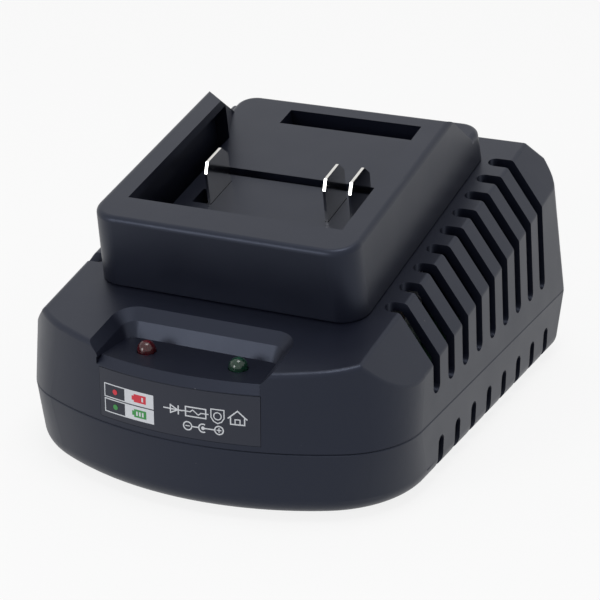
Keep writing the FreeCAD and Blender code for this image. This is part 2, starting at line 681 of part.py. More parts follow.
def make_dock():
    half = size("dock_half")
    front = -size("dock_front")
    back = size("dock_back")
    depth = size("spigot_depth")
    draft = size("dock_draft")
    platform = -size("platform_depth")
    under = platform - size("platform_wall")
    opening = size("opening_half")

    def casing(w, radius):
        """Tapered outside of the dock up to a height, with its top edge rounded."""
        def ring(height):
            share = -height / depth
            return rounded(half + share * draft, front, back + share * size("dock_back_lean"),
                           size("dock_corner"), size("dock_back_corner"), height)
        whole = between(ring(-depth), ring(w))
        return whole.makeFillet(radius, [e for e in whole.Edges if e.BoundBox.ZMin > w - 0.01])

    outer = casing(0, size("dock_edge_radius")).cut(deck_in_dock(size("dock_gap")))
    spigot = spigot_prism(0, -depth, under)

    def mouth(x, start):
        """Side view of what is open above the platform behind a rail."""
        over = size("rail_lip")
        points = [Vector(x, start - over, over), Vector(x, start + size("platform_depth"), platform),
                  Vector(x, FAR, platform), Vector(x, FAR, over)]
        return Part.makePolygon(points + points[:1])

    slope_inner = opening
    slope_outer = half + draft + 1
    skew = size("rail_skew") / (half - opening)
    start_inner = size("rail_length")
    start_outer = start_inner + skew * (slope_outer - slope_inner)
    side_mouth = between(mouth(slope_inner, start_inner), mouth(slope_outer, start_outer))
    flare_start = size("groove_length")
    flare_end = flare_start + size("platform_depth")
    way_in = prism([Vector(-opening, 0, platform), Vector(opening, 0, platform),
                    Vector(opening, flare_start, platform),
                    Vector(opening + size("mouth_flare"), flare_end, platform),
                    Vector(opening + size("mouth_flare"), FAR, platform),
                    Vector(-opening - size("mouth_flare"), FAR, platform),
                    Vector(-opening - size("mouth_flare"), flare_end, platform),
                    Vector(-opening, flare_start, platform)], Vector(0, 0, FAR))
    groove = block(opening - 1, opening + size("groove_depth"), 0, flare_start,
                   platform, -size("rail_lip"))
    relief = block(opening, opening + size("groove_depth"), size("groove_depth"), flare_start,
                   -FAR, platform + 1)
    inside = size("dock_wall")
    cavity = rounded(half - size("spigot_step") - inside, front + size("spigot_step") + inside,
                     back - size("spigot_step") - inside, size("dock_corner") - size("spigot_step"),
                     size("dock_back_corner") - size("spigot_step"), -depth - 1)
    cavity = Part.Face(cavity).extrude(Vector(0, 0, depth + 1 + under))
    latch_front = size("latch_start")
    latch_back = latch_front + size("latch_length")
    latch_low = platform - size("latch_depth")
    skin = size("platform_wall")
    latch_box = block(-size("latch_left") - skin, size("latch_right") + skin, latch_front - skin,
                      latch_back + skin, latch_low - skin, under)
    latch = block(-size("latch_left"), size("latch_right"), latch_front, latch_back, latch_low, 1)
    carrier_under = platform - size("carrier_drop") - size("carrier_thickness")
    bar_inner = opening - size("bar_width")
    bar_low = carrier_under - size("bar_height")
    bar_back = size("platform_start") + inside
    bar = block(bar_inner, opening, -inside, bar_back, bar_low, carrier_under)
    riser = block(bar_inner, opening, size("platform_start"), bar_back, carrier_under, under)
    front_web = block(-opening, opening, -inside, 0, bar_low, under)
    front_hollow = block(-opening, opening, front + inside, -inside, -FAR, -inside)
    dock_posts = [post(x, y, -depth, under, size("board_post_radius")).common(spigot)
                  for x, y in dock_places]
    terminal_window = block(-opening, opening, 0, size("platform_start"), -FAR, 1)
    dock = outer.cut([way_in, groove, groove.mirror(Vector(0, 0, 0), Vector(1, 0, 0))]
                     + mirrored(side_mouth))
    foot_inner = start_inner + size("platform_depth")
    foot_outer = start_outer + size("platform_depth")
    behind = prism([Vector(-slope_outer, foot_outer, -FAR), Vector(-slope_inner, foot_inner, -FAR),
                    Vector(slope_inner, foot_inner, -FAR), Vector(slope_outer, foot_outer, -FAR),
                    Vector(slope_outer, FAR, -FAR), Vector(-slope_outer, FAR, -FAR)], Vector(0, 0, 2 * FAR))
    low = casing(platform, size("platform_edge_radius")).cut(deck_in_dock(size("dock_gap")))
    dock = dock.cut(behind).fuse(low.common(behind))
    dock = dock.fuse(spigot).cut([cavity, terminal_window, front_hollow] + mirrored(relief))
    dock = dock.fuse([latch_box, front_web] + mirrored(bar) + mirrored(riser) + dock_posts)
    holes = [post(x, y, -depth - 1, -depth + size("short_screw_length"),
                  size("screw_radius") + size("screw_gap")) for x, y in dock_places]
    holes += [post(x, y, bar_low - 1, carrier_under + 1, size("screw_radius") + size("screw_gap"))
              for x, y in carrier_places]
    return dock.cut([latch] + holes)


feature("battery_dock", make_dock(), DOCK)

# Bodies drawn as sketches whose corners are tied to the sheet


def body_with_sketch(node, plane, points, circles=()):
    """Body with one sketch: a closed polygon of (across, up) lengths, and round holes."""
    body = doc.addObject("PartDesign::Body", node)
    sketch = body.newObject("Sketcher::SketchObject", node + "_sketch")
    origin = [o for o in body.Origin.OriginFeatures if o.Role == plane][0]
    sketch.AttachmentSupport = [(origin, "")]
    sketch.MapMode = "FlatFace"
    corners = [(length(across), length(up)) for across, up in points]
    count = len(corners)
    for index in range(count):
        here = corners[index]
        following = corners[(index + 1) % count]
        sketch.addGeometry(Part.LineSegment(Vector(here[0].value, here[1].value, 0),
                                            Vector(following[0].value, following[1].value, 0)))
    for index in range(count):
        sketch.addConstraint(Sketcher.Constraint("Coincident", index, 2, (index + 1) % count, 1))
        place_point(sketch, index, 1, corners[index])
    for across, up, radius in circles:
        across, up, radius = length(across), length(up), length(radius)
        index = sketch.addGeometry(Part.Circle(Vector(across.value, up.value, 0), Vector(0, 0, 1),
                                               radius.value))
        place_point(sketch, index, 3, (across, up))
        tie = sketch.addConstraint(Sketcher.Constraint("Radius", index, radius.value))
        sketch.setExpression("Constraints[%d]" % tie, radius.text)
    return body, sketch


def place_point(sketch, index, end, place):
    """Tie one point of a sketch to the sketch's axes."""
    for kind, axis, coordinate in (("DistanceX", -2, place[0]), ("DistanceY", -1, place[1])):
        if abs(coordinate.value) < 1e-9:
            sketch.addConstraint(Sketcher.Constraint("PointOnObject", index, end, axis))
        else:
            tie = sketch.addConstraint(Sketcher.Constraint(kind, -1, 1, index, end, coordinate.value))
            sketch.setExpression("Constraints[%d]" % tie, coordinate.text)


def padded(node, plane, points, height, circles=()):
    """Body padded from a sketch."""
    body, sketch = body_with_sketch(node, plane, points, circles)
    pad = body.newObject("PartDesign::Pad", node + "_pad")
    pad.Profile = sketch
    pad.setExpression("Length", length(height).text)
    sketch.Visibility = False
    doc.recompute()
    return body


def turned(node, points):
    """Body turned about the upright axis from a half profile of (radius, height) lengths."""
    body, sketch = body_with_sketch(node, "XZ_Plane", points)
    turn = body.newObject("PartDesign::Revolution", node + "_turn")
    turn.Profile = sketch
    turn.ReferenceAxis = (sketch, ["V_Axis"])
    turn.Angle = 360
    doc.recompute()
    return body


def drilled(body, plane, places, radius, depth):
    """Round holes drilled into a body from one of its origin planes, against the plane's normal."""
    sketch = body.newObject("Sketcher::SketchObject", body.Name + "_holes")
    origin = [o for o in body.Origin.OriginFeatures if o.Role == plane][0]
    sketch.AttachmentSupport = [(origin, "")]
    sketch.MapMode = "FlatFace"
    for across, up in places:
        across, up, radius = length(across), length(up), length(radius)
        index = sketch.addGeometry(Part.Circle(Vector(across.value, up.value, 0), Vector(0, 0, 1),
                                               radius.value))
        place_point(sketch, index, 3, (across, up))
        tie = sketch.addConstraint(Sketcher.Constraint("Radius", index, radius.value))
        sketch.setExpression("Constraints[%d]" % tie, radius.text)
    before = body.Shape.Volume
    pocket = body.newObject("PartDesign::Pocket", body.Name + "_pocket")
    pocket.Profile = sketch
    pocket.setExpression("Length", length(depth).text)
    doc.recompute()
    if body.Shape.Volume > before - 1e-6:
        raise RuntimeError("the holes in %s cut nothing" % body.Label)
    return body


def box_points(half_across, half_up):
    across = length(half_across)
    up = length(half_up)
    return [(-across, -up), (across, -up), (across, up), (-across, up)]


def placed(body, x, y, z):
    """Move a body, its place tied to the sheet, and count it as a sub-part."""
    for axis, value in (("x", x), ("y", y), ("z", z)):
        body.setExpression("Placement.Base." + axis, length(value).text)
    objects.append(body)
    return body


def group(node, source, placements):
    """Separate copies of one body in a single node."""
    copies = []
    for placement in placements:
        copy = source.Shape.copy()
        copy.Placement = placement.multiply(copy.Placement)
        copies.append(copy)
    return feature(node, Part.makeCompound(copies))


def upright(x, y, z):
    return Placement(Vector(x, y, z), Rotation())


def upside_down(x, y, z):
    return Placement(Vector(x, y, z), Rotation(Vector(1, 0, 0), 180))


case_depth = length("dock_start") + "dock_back" + "deck_behind"
front_edge = -case_depth / 2
case_bottom = length("foot_height")
board_under = case_bottom + "wall" + "board_lift"
board_top = board_under + "board_thickness"

# Contact carrier and its three blades, in the dock's frame

TERMINALS = {
    "positive_terminal": -size("blade_left"),
    "sense_terminal": size("sense_offset"),
    "negative_terminal": size("blade_right"),
}
carrier_top = -size("platform_depth") - size("carrier_drop")
carrier_under = carrier_top - size("carrier_thickness")


def make_carrier():
    half = size("opening_half") - size("fit_gap")
    back = size("platform_start") - size("carrier_gap")
    body = block(-half, half, size("fit_gap"), back, carrier_under, carrier_top)
    gap = size("screw_gap")
    cuts = []
    for u in TERMINALS.values():
        side = size("blade_thickness") / 2 + gap
        cuts.append(block(u - side, u + side, size("blade_start") - gap,
                          size("blade_start") + size("blade_length") + gap, -FAR, 0))
    probe = -size("blade_left") - size("blade_thickness") / 2 - gap
    cuts.append(block(probe - 2 * size("probe_half"), probe, size("blade_start"),
                      size("blade_start") + size("probe_length"), -FAR, 0))
    cuts += [post(u, v, carrier_under - 1, carrier_top - gap * 4, size("screw_radius") + gap)
             for u, v in carrier_places]
    return body.cut(cuts)


feature("terminal_carrier", make_carrier(), DOCK)

blade_base = -(length("platform_depth") + "carrier_drop" + "carrier_thickness")
shoulder_low = blade_base - "shoulder_height"
blade_front = length("blade_start")
blade_back = blade_front + "blade_length"
blade_top = -length("blade_tip")
tail_front = blade_front + length("blade_length") / 2 - length("tail_length") / 2
tail_back = tail_front + "tail_length"
tail_low = shoulder_low - "blade_tail"
BLADE = [
    (blade_front, blade_base),
    (blade_front, blade_top - "blade_nose_drop"),
    (blade_front + "blade_nose", blade_top),
    (blade_back - "blade_heel", blade_top),
    (blade_back, blade_top - "blade_heel"),
    (blade_back, blade_base),
    (blade_back + "blade_shoulder", blade_base),
    (blade_back + "blade_shoulder", shoulder_low),
    (tail_back, shoulder_low),
    (tail_back, tail_low),
    (tail_front, tail_low),
    (tail_front, shoulder_low),
    (blade_front - "blade_shoulder", shoulder_low),
    (blade_front - "blade_shoulder", blade_base),
]
for node, offset in TERMINALS.items():
    blade = padded(node, "YZ_Plane", BLADE, "blade_thickness")
    across = Placement(Vector(offset - size("blade_thickness") / 2, 0, 0), Rotation())
    blade.Placement = DOCK.multiply(across)
    objects.append(blade)

# Feet and screws

foot_edge = length("foot_radius") / 8
foot_tall = length("foot_height") + "foot_recess"
foot = turned("rubber_foot", [(0, 0), (length("foot_radius") - foot_edge, 0),
                              ("foot_radius", foot_edge), ("foot_radius", foot_tall), (0, foot_tall)])
group("rubber_feet", foot, [upright(x, y, 0) for x, y in foot_places])


def screw(node, shank):
    """Pan-head screw, head down: its seat is at the origin and its shank points up."""
    head = length("screw_head_height")
    radius = length("screw_head_radius")
    shank_radius = length("screw_radius")
    body = turned(node, [(0, -head), (radius * 0.6, -head), (radius, head * -0.5), (radius, 0),
                         (shank_radius, 0), (shank_radius, length(shank) - shank_radius),
                         (0, shank)])
    arm = radius * 0.55
    half = radius * 0.14
    cross = [(half, -arm), (half, -half), (arm, -half), (arm, half), (half, half), (half, arm),
             (-half, arm), (-half, half), (-arm, half), (-arm, -half), (-half, -half), (-half, -arm)]
    cut = padded(node + "_recess", "XY_Plane", cross, head / 2)
    cut.setExpression("Placement.Base.z", (-head).text)
    doc.recompute()
    finished = doc.addObject("Part::Cut", node + "_finished")
    finished.Base = body
    finished.Tool = cut
    doc.recompute()
    return finished


long_screw = screw("long_screw", "housing_screw_length")
short_screw = screw("short_screw", "short_screw_length")
group("housing_screws", long_screw,
      [upright(x, y, BOTTOM + size("housing_screw_lift")) for x, y in housing_places])
group("board_screws", short_screw, [upside_down(x, y, BOARD_TOP) for x, y in board_places])
ledge_under = -size("spigot_depth") - size("fit_gap") - size("ledge_thickness")
group("dock_screws", short_screw,
      [DOCK.multiply(upright(u, v, ledge_under)) for u, v in dock_places])
group("carrier_screws", short_screw,
      [DOCK.multiply(upright(u, v, carrier_under - size("bar_height"))) for u, v in carrier_places])
group("indicator_screws", short_screw,
      [upright(x, y, lamp_board_top - size("board_thickness")) for x, y in lamp_screw_places])

# Label and indicator lamps on their own small board

feature("status_label", label_solid(0))

lamp_half_board = length("lamp_offset") + length("lamp_radius") * 2
indicator_board = padded("indicator_board", "XY_Plane",
                         box_points(lamp_half_board, length("lamp_radius") * 2), "board_thickness",
                         [(length("lamp_offset") * side / 2, 0, length("screw_radius") + "screw_gap")
                          for side in (-1, 1)])
indicator_level = case_bottom + "recess_floor" + "lamp_proud" - "lamp_height"
placed(indicator_board, 0, front_edge + "lamp_place", indicator_level - "board_thickness")


def lamp(node, side):
    """Round lamp: flange, barrel and dome."""
    flange = doc.addObject("Part::Cylinder", node + "_flange")
    flange.setExpression("Radius", (length("lamp_radius") + "lamp_flange").text)
    flange.setExpression("Height", (length("lamp_radius") * 0.4).text)
    barrel = doc.addObject("Part::Cylinder", node + "_barrel")
    barrel.setExpression("Radius", length("lamp_radius").text)
    barrel.setExpression("Height", (length("lamp_height") - "lamp_radius").text)
    dome = doc.addObject("Part::Sphere", node + "_dome")
    dome.setExpression("Radius", length("lamp_radius").text)
    dome.setExpression("Placement.Base.z", (length("lamp_height") - "lamp_radius").text)
    whole = doc.addObject("Part::MultiFuse", node)
    whole.Shapes = [flange, barrel, dome]
    placed(whole, length("lamp_offset") * side, front_edge + "lamp_place", indicator_level)


lamp("red_indicator", -1)
lamp("green_indicator", 1)

# Main board and what stands on it

board_front = front_edge + "board_start"
board_depth = case_depth - "board_start" - "board_back_gap"
inset = length("board_screw_inset")
board_hole = length("screw_radius") + "screw_gap"
main_board = padded("main_board", "XY_Plane",
                    [(-length("board_half"), 0), ("board_half", 0),
                     ("board_half", board_depth), (-length("board_half"), board_depth)],
                    "board_thickness",
                    [((length("board_half") - inset) * side, up, board_hole) for side in (-1, 1)
                     for up in (inset, board_depth - inset)])
placed(main_board, 0, board_front, board_under)


def make_jack():
    half = size("jack_width") / 2
    nose = size("jack_snout_radius")
    face = jack_nose - 2 * WALL
    body_back = face - size("jack_depth")
    body = block(jack_x - half, jack_x + half, body_back, face, BOARD_TOP, BOARD_TOP + size("jack_height"))
    snout = Part.makeCylinder(nose, jack_nose - face + 1, Vector(jack_x, face - 1, jack_axis),
                              Vector(0, 1, 0))
    bore = Part.makeCylinder(size("jack_bore_radius"), size("jack_bore_depth"),
                             Vector(jack_x, jack_nose - size("jack_bore_depth"), jack_axis),
                             Vector(0, 1, 0))
    return body.fuse(snout).cut(bore)


feature("dc_jack", make_jack())
pin_length = size("jack_bore_depth") - size("jack_pin_radius")
jack_pin = Part.makeCylinder(size("jack_pin_radius"), pin_length,
                             Vector(jack_x, jack_nose - size("jack_bore_depth"), jack_axis),
                             Vector(0, 1, 0))
feature("dc_jack_pin", jack_pin)

can = length("capacitor_radius")
can_height = length("capacitor_height")
capacitor = turned("capacitor", [(0, 0), (can * 0.9, 0), (can, can * 0.1), (can, can * 0.35),
                                 (can * 0.93, can * 0.45), (can * 0.93, can * 0.55), (can, can * 0.65),
                                 (can, can_height - can * 0.1), (can * 0.9, can_height), (0, can_height)])
capacitor_x = -size("board_half") / 2
capacitor_y = BOARD_FRONT + board_depth.value * 0.30
group("bulk_capacitors", capacitor,
      [upright(capacitor_x, capacitor_y + step * size("capacitor_pitch"), BOARD_TOP) for step in (0, 1)])

drum = length("inductor_radius")
neck = length("inductor_neck")
rim = length("inductor_flange")
drum_top = length("inductor_height")
core = turned("inductor_core", [(0, 0), (drum, 0), (drum, rim), (neck, rim), (neck, drum_top - rim),
                                (drum, drum_top - rim), (drum, drum_top), (0, drum_top)])
gap = length("winding_gap")
winding = turned("inductor_winding", [(neck + gap, rim + gap), (drum - gap * 3, rim + gap),
                                      (drum - gap * 3, drum_top - rim - gap),
                                      (neck + gap, drum_top - rim - gap)])
for coil_part in (core, winding):
    placed(coil_part, length("board_half") / 2, board_front + board_depth * 0.28, board_top)

sink_half = length("sink_width") / 2
fins = int(size("sink_fin_count"))
fin_points = [(-sink_half, 0), (sink_half, 0)]
fin_step = (length("sink_width") - "sink_fin") / (fins - 1)
for number in range(fins):
    right = sink_half - fin_step * number
    left = right - "sink_fin"
    fin_points += [(right, "sink_depth"), (left, "sink_depth")]
    if number < fins - 1:
        fin_points += [(left, "sink_base"), (right - fin_step, "sink_base")]
sink_x = length("board_half") / 4
sink_y = board_front + board_depth * 0.62
heat_sink = padded("heat_sink", "XY_Plane", fin_points, "sink_height")
package_offset = length("sink_width") / 4
package_hole = length("package_height") - "screw_head_radius"
drilled(heat_sink, "XZ_Plane", [(package_offset * side, package_hole + "package_lift") for side in (-1, 1)],
        length("screw_radius") + "screw_gap", "sink_base")
placed(heat_sink, sink_x, sink_y, board_top)

package_places = [(sink_x.value + side * package_offset.value, sink_y.value) for side in (-1, 1)]
tab_thickness = size("package_thickness") / 4


def make_packages():
    """Flat power transistors against the back of the heat sink, each with its mounting hole."""
    pieces = []
    for x, y in package_places:
        half = size("package_width") / 2
        low = BOARD_TOP + size("package_lift")
        tall = size("package_height")
        thick = size("package_thickness")
        case_top = low + tall - 2 * size("screw_head_radius") - size("fit_gap")
        tab = block(x - half, x + half, y - tab_thickness, y, low, low + tall)
        case = block(x - half, x + half, y - thick, y - tab_thickness, low, case_top)
        leg = size("package_leg") / 2
        legs = [block(x + step * half / 2 - leg, x + step * half / 2 + leg, y - thick * 0.6,
                      y - thick * 0.4, BOARD_TOP, low) for step in (-1, 0, 1)]
        hole = Part.makeCylinder(size("screw_radius") + size("screw_gap"), thick,
                                 Vector(x, y - thick, low + package_hole.value), Vector(0, 1, 0))
        pieces.append(tab.fuse([case] + legs).cut(hole))
    return Part.makeCompound(pieces)


feature("power_transistors", make_packages())
screw_level = BOARD_TOP + size("package_lift") + package_hole.value
group("heat_sink_screws", short_screw,
      [Placement(Vector(x, y - tab_thickness, screw_level), Rotation(Vector(1, 0, 0), -90))
       for x, y in package_places])

chip = padded("controller_chip", "XY_Plane",
              box_points(length("chip_length") / 2, length("chip_width") / 2), "chip_height")
placed(chip, -length("board_half") / 3, board_front + board_depth * 0.72, board_top)

fuse_rim = length("fuse_radius") / 6
fuse = turned("fuse", [(0, 0), ("fuse_radius", 0), ("fuse_radius", length("fuse_height") - fuse_rim),
                       (length("fuse_radius") - fuse_rim, "fuse_height"), (0, "fuse_height")])
placed(fuse, (length("jack_offset") - "board_half") / 2, board_front + board_depth * 0.88, board_top)

header_y = board_front + board_depth * 0.46
header = padded("output_header", "XY_Plane",
                box_points(length("header_length") / 2, length("header_width") / 2), "header_height")
placed(header, 0, header_y, board_top)

# Internal wires, held at both ends


def tube(points, radius):
    """Round wire along straight runs joined by tangent arcs."""
    edges = []
    start = points[0]
    for before, corner, after in zip(points, points[1:], points[2:]):
        back = (before - corner).normalize()
        ahead = (after - corner).normalize()
        turn = math.pi - back.getAngle(ahead)
        run = 0.45 * min((corner - before).Length, (after - corner).Length)
        bend = run / math.tan(turn / 2) if turn > 0 else 0
        middle_way = (back + ahead).normalize()
        reach = bend / math.cos(turn / 2) - bend
        first = corner + back * run
        last = corner + ahead * run
        edges.append(Part.LineSegment(start, first).toShape())
        edges.append(Part.Arc(first, corner + middle_way * reach, last).toShape())
        start = last
    edges.append(Part.LineSegment(start, points[-1]).toShape())
    path = Part.Wire(edges)
    circle = Part.Circle(points[0], points[1] - points[0], radius).toShape()
    return path.makePipeShell([Part.Wire([circle])], True, False)


tail_end = DOCK.multVec(Vector(0, tail_front.value + size("tail_length") / 2, tail_low.value))
tail_way = DOCK.Rotation.multVec(Vector(0, 0, -1))
header_top = BOARD_TOP + size("header_height")
HEADER_WAYS = {"positive_terminal": -1, "sense_terminal": 0, "negative_terminal": 1}
for node, offset in TERMINALS.items():
    start = Vector(offset, tail_end.y, tail_end.z)
    way = HEADER_WAYS[node] * size("header_pitch")
    end = Vector(way, header_y.value, header_top)
    drop = start.z - end.z
    route = [start, start + tail_way * (drop * 0.3), end + Vector(0, 0, drop * 0.3), end]
    feature(node.replace("terminal", "wire"), tube(route, size("wire_radius")))

lead_top = Vector(0, lamp_y, lamp_board_top - size("board_thickness"))
lead_end = Vector(0, BOARD_FRONT + size("board_screw_inset"), BOARD_TOP)
lead_drop = lead_top.z - lead_end.z
lead_route = [lead_top, lead_top - Vector(0, 0, lead_drop * 0.4), lead_end + Vector(0, 0, lead_drop * 0.3),
              lead_end]
feature("indicator_wire", tube(lead_route, size("wire_radius")))

doc.recompute()

# Nothing is written if a piece failed
for item in doc.Objects:
    if "Invalid" in item.State or "Error" in item.State:
        raise RuntimeError("%s failed" % item.Label)
for item in objects:
    if item.Shape.isNull() or not item.Shape.isValid():
        raise RuntimeError("%s has no valid shape" % item.Label)

os.makedirs("parts", exist_ok=True)
for item in objects:
    item.Shape.exportStep("parts/%s.step" % item.Label)
    print(item.Label, len(item.Shape.Solids), round(item.Shape.Volume, 1))
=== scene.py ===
# Looks of the slide-in battery charger: materials, printed label, lamp details, camera and studio.
# Metres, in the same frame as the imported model: +Y from the front to the back, +Z up.
import bmesh
import bpy
import json
import math
from mathutils import Matrix, Vector


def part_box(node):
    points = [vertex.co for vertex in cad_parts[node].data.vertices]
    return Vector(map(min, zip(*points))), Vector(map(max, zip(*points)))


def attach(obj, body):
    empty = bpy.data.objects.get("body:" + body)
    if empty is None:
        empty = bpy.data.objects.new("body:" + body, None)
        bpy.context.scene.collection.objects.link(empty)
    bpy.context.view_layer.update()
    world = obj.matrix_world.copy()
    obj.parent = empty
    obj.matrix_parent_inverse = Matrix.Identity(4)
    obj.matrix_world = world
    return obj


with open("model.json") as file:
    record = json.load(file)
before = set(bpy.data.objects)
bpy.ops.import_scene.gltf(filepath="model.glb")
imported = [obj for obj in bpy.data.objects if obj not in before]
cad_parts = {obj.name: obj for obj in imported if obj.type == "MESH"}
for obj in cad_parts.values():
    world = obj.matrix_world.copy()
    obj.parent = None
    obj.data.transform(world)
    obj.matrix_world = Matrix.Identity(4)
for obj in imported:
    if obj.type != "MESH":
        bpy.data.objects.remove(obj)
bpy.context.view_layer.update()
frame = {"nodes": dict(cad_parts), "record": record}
nodes = frame["nodes"]
MM = 0.001

# Camera, as fitted to the photograph

CAMERA_PLACE = Vector((0.20722, -0.45422, 0.23710))
CAMERA_AZIMUTH = math.radians(24.166)
CAMERA_ELEVATION = math.radians(22.315)
FOCAL_IN_PIXELS = 1875.59
FRAME_PIXELS = 600.0
SENSOR = 36.0
CLIP_NEAR = 0.01
CLIP_FAR = 20.0


def add_object(name, data):
    """New object in the scene."""
    item = bpy.data.objects.new(name, data)
    bpy.context.scene.collection.objects.link(item)
    return item


def make_camera():
    data = bpy.data.cameras.new("camera")
    data.sensor_fit = "HORIZONTAL"
    data.sensor_width = SENSOR
    data.lens = FOCAL_IN_PIXELS / FRAME_PIXELS * SENSOR
    data.clip_start = CLIP_NEAR
    data.clip_end = CLIP_FAR
    camera = add_object("camera", data)
    turn = Matrix.Rotation(CAMERA_AZIMUTH, 4, "Z")
    tilt = Matrix.Rotation(math.pi / 2 - CAMERA_ELEVATION, 4, "X")
    camera.matrix_world = Matrix.Translation(CAMERA_PLACE) @ (turn @ tilt)
    bpy.context.scene.camera = camera


# Materials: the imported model's plain ones make way for those made here

for plain in list(bpy.data.materials):
    bpy.data.materials.remove(plain)

# Sockets of the Mix node when it mixes colours
MIX_FACTOR = 0
MIX_FIRST = 6
MIX_SECOND = 7
MIX_RESULT = 2

# Dust speck: solid share of its radius, and how sharply a cell holds one or none
SPECK_CORE = 0.6
SPECK_EDGE = 0.001


class Paint:
    """Small helper that adds and links the nodes of one material."""

    def __init__(self, name):
        self.material = bpy.data.materials.new(name)
        self.material.use_nodes = True
        self.tree = self.material.node_tree
        self.shader = self.tree.nodes["Principled BSDF"]

    def node(self, kind, inputs=None, **settings):
        node = self.tree.nodes.new(kind)
        for key, value in settings.items():
            setattr(node, key, value)
        for key, value in (inputs or {}).items():
            self.feed(node.inputs[key], value)
        return node

    def feed(self, socket, value):
        if isinstance(value, bpy.types.NodeSocket):
            self.tree.links.new(value, socket)
        else:
            socket.default_value = value

    def set(self, **inputs):
        """Give the shader's sockets a number, a colour or a link."""
        for key, value in inputs.items():
            self.feed(self.shader.inputs[key.replace("_", " ")], value)

    def place(self):
        return self.node("ShaderNodeTexCoord").outputs["Object"]

    def noise(self, scale, detail=2.0):
        inputs = {"Vector": self.place(), "Scale": scale, "Detail": detail}
        return self.node("ShaderNodeTexNoise", inputs).outputs["Fac"]

    def range(self, value, low, high, start=0.0, end=1.0):
        inputs = {"Value": value, "From Min": start, "From Max": end, "To Min": low, "To Max": high}
        return self.node("ShaderNodeMapRange", inputs).outputs["Result"]

    def times(self, first, second):
        return self.node("ShaderNodeMath", {0: first, 1: second}, operation="MULTIPLY").outputs[0]

    def mix(self, factor, first, second):
        node = self.node("ShaderNodeMix", data_type="RGBA")
        self.feed(node.inputs[MIX_FACTOR], factor)
        self.feed(node.inputs[MIX_FIRST], (*first, 1.0) if isinstance(first, tuple) else first)
        self.feed(node.inputs[MIX_SECOND], (*second, 1.0) if isinstance(second, tuple) else second)
        return node.outputs[MIX_RESULT]

    def mottle(self, scale, colour):
        """Colour that is a little darker in places."""
        return self.mix(self.noise(scale), tuple(c * MOTTLE_SHADE for c in colour), colour)

    def specks(self, spacing, radius, share):
        """Factor of scattered dust specks: one cell in so many holds a speck."""
        inputs = {"Vector": self.place(), "Scale": 1.0 / spacing}
        cells = self.node("ShaderNodeTexVoronoi", inputs)
        reach = radius / spacing
        near = self.range(cells.outputs["Distance"], 1.0, 0.0, reach * SPECK_CORE, reach)
        channels = self.node("ShaderNodeSeparateColor", {"Color": cells.outputs["Color"]})
        threshold = 1.0 - share
        chosen = self.range(channels.outputs["Red"], 0.0, 1.0, threshold, threshold + SPECK_EDGE)
        return self.times(near, chosen)

    def bump(self, height, distance, strength, under=None):
        inputs = {"Height": height, "Distance": distance, "Strength": strength}
        if under is not None:
            inputs["Normal"] = under
        return self.node("ShaderNodeBump", inputs).outputs["Normal"]


# Surface values: noise scales are per metre, depths and sizes in metres

MOTTLE_SHADE = 0.92
PLASTIC_TINT = (0.62, 0.70, 0.92, 1.0)
PLASTIC_ROUGHNESS = (0.36, 0.45)
CLOUD_SCALE = 38.0
CLOUD_DETAIL = 3.0
CLOUD_DARK = 0.9
CLOUD_LIGHT = 1.12
POLISH_SCALE = 90.0
DUST_COLOUR = (0.10, 0.10, 0.11)
DUST_SPACING = 0.009
DUST_RADIUS = 0.00018
DUST_SHARE = 0.35
GRAIN_SCALE = 3200.0
GRAIN_DEPTH = 0.00003
GRAIN_STRENGTH = 0.5
WAVE_SCALE = 60.0
WAVE_DEPTH = 0.0001
WAVE_STRENGTH = 0.25
FILM_ROUGHNESS = (0.30, 0.36)
FILM_DEPTH = 0.00001
FILM_STRENGTH = 0.3
LENS_ROUGHNESS = (0.02, 0.07)
LENS_TRANSMISSION = 0.8
LENS_IOR = 1.5


def moulded_plastic(name, colour):
    """Matt moulded plastic with a fine spark-eroded grain, faint cloudiness and a little dust."""
    paint = Paint(name)
    darker = tuple(c * CLOUD_DARK for c in colour)
    lighter = tuple(c * CLOUD_LIGHT for c in colour)
    body = paint.mix(paint.noise(CLOUD_SCALE, CLOUD_DETAIL), darker, lighter)
    dust = paint.specks(DUST_SPACING, DUST_RADIUS, DUST_SHARE)
    grain = paint.bump(paint.noise(GRAIN_SCALE), GRAIN_DEPTH, GRAIN_STRENGTH)
    wave = paint.noise(WAVE_SCALE, 1.0)
    paint.set(Base_Color=paint.mix(dust, body, DUST_COLOUR),
              Roughness=paint.range(paint.noise(POLISH_SCALE, CLOUD_DETAIL), *PLASTIC_ROUGHNESS),
              Normal=paint.bump(wave, WAVE_DEPTH, WAVE_STRENGTH, grain),
              Specular_Tint=PLASTIC_TINT)


def printed_film(name, colour):
    """Thin satin film of the label."""
    paint = Paint(name)
    paint.set(Base_Color=paint.mottle(120.0, colour),
              Roughness=paint.range(paint.noise(300.0), *FILM_ROUGHNESS),
              Normal=paint.bump(paint.noise(900.0), FILM_DEPTH, FILM_STRENGTH),
              Specular_Tint=PLASTIC_TINT)


def plain_plastic(name, colour, roughness):
    """Smooth plastic, rubber, lacquer or ink."""
    paint = Paint(name)
    paint.set(Base_Color=paint.mottle(150.0, colour),
              Roughness=paint.range(paint.noise(500.0), roughness - 0.04, roughness + 0.04))
    return paint.material


def metal(name, colour, roughness):
    paint = Paint(name)
    paint.set(Base_Color=paint.mottle(400.0, colour),
              Roughness=paint.range(paint.noise(900.0), roughness * 0.8, roughness * 1.2),
              Metallic=1.0)


def lens(name, colour):
    """Clear tinted plastic of a lamp."""
    paint = Paint(name)
    paint.set(Base_Color=(*colour, 1.0),
              Roughness=paint.range(paint.noise(700.0), *LENS_ROUGHNESS),
              Transmission_Weight=LENS_TRANSMISSION,
              IOR=LENS_IOR)


CHARCOAL = (0.0028, 0.0034, 0.0082)
DOCK_CHARCOAL = tuple(c * 0.95 for c in CHARCOAL)

